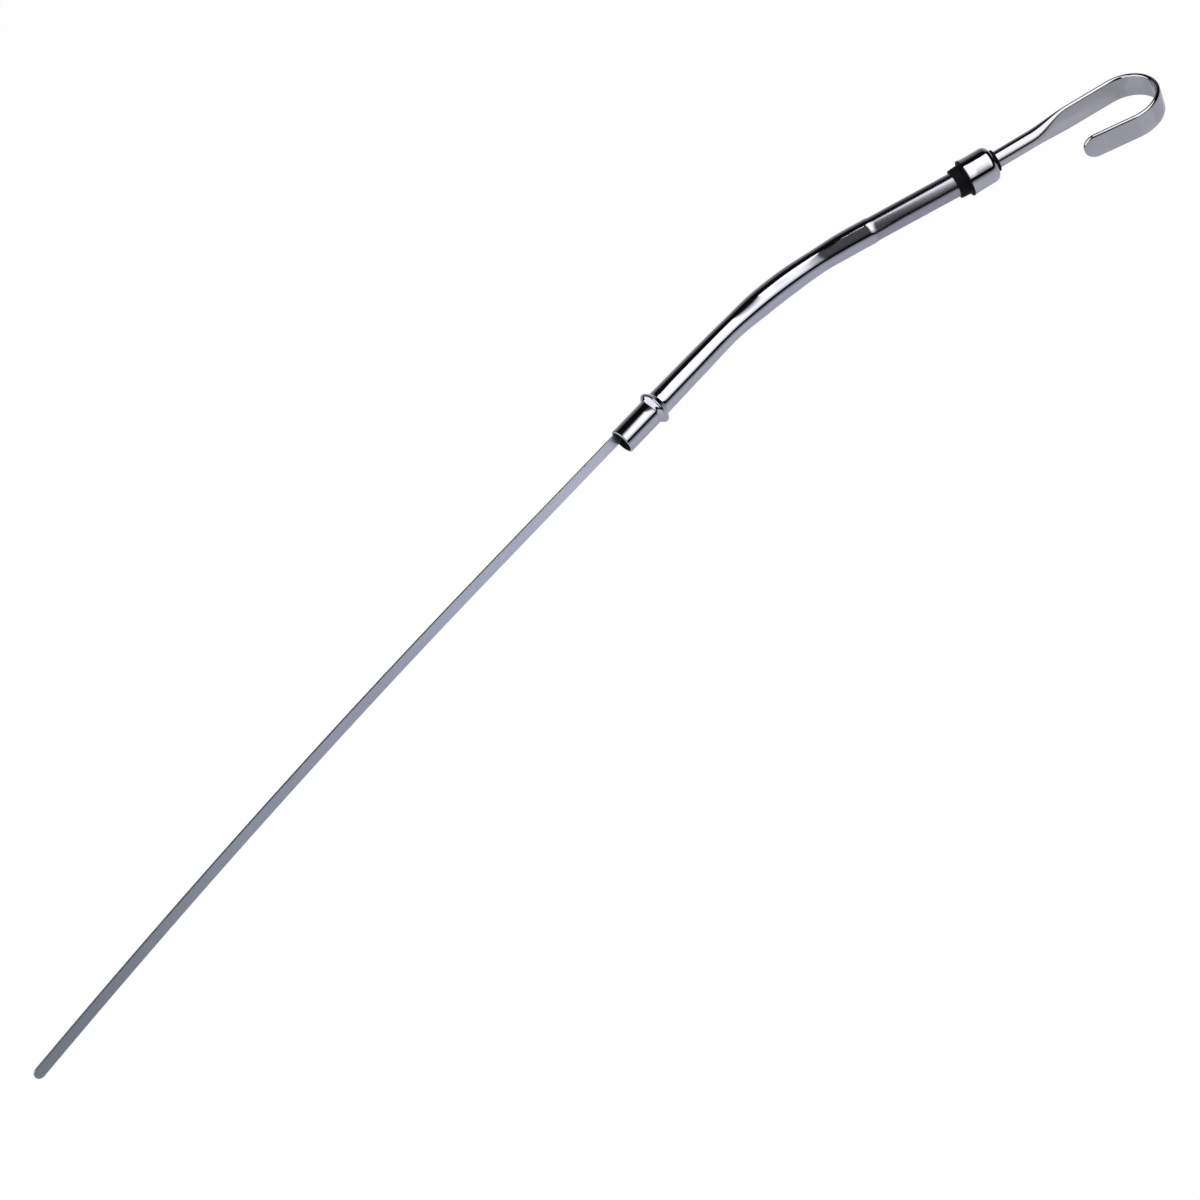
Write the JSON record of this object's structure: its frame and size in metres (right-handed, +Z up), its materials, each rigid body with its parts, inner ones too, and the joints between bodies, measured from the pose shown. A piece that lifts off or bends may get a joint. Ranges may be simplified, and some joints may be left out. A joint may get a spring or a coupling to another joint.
{
  "type": "engine oil dipstick in its guide tube",
  "caption": "Bent chrome guide tube with a stop bead, holding a springy oil dipstick blade with a rubber-sealed cap and a finger hook",
  "frame": {"origin": "on the axis of the guide tube's lower end, at the seat of the stop bead", "axes": "+X along the lower part of the guide tube towards the handle, +Z up, square to the plane that the tube and the hook are bent in"},
  "size_m": [0.522, 0.0915, 0.0144],
  "materials": {
    "tube_chrome": "bright plated steel with fine press marks",
    "blade_steel": "satin rolled spring steel",
    "handle_chrome": "bright plated, softer on the flattened hook",
    "cap_chrome": "bright plated drawn sheet",
    "seal_rubber": "matte black moulded rubber"
  },
  "bodies": {
    "root": {"guide_tube": "tube_chrome", "blade": "blade_steel", "handle": "handle_chrome", "cap": "cap_chrome", "seal": "seal_rubber"}
  },
  "joints": []
}
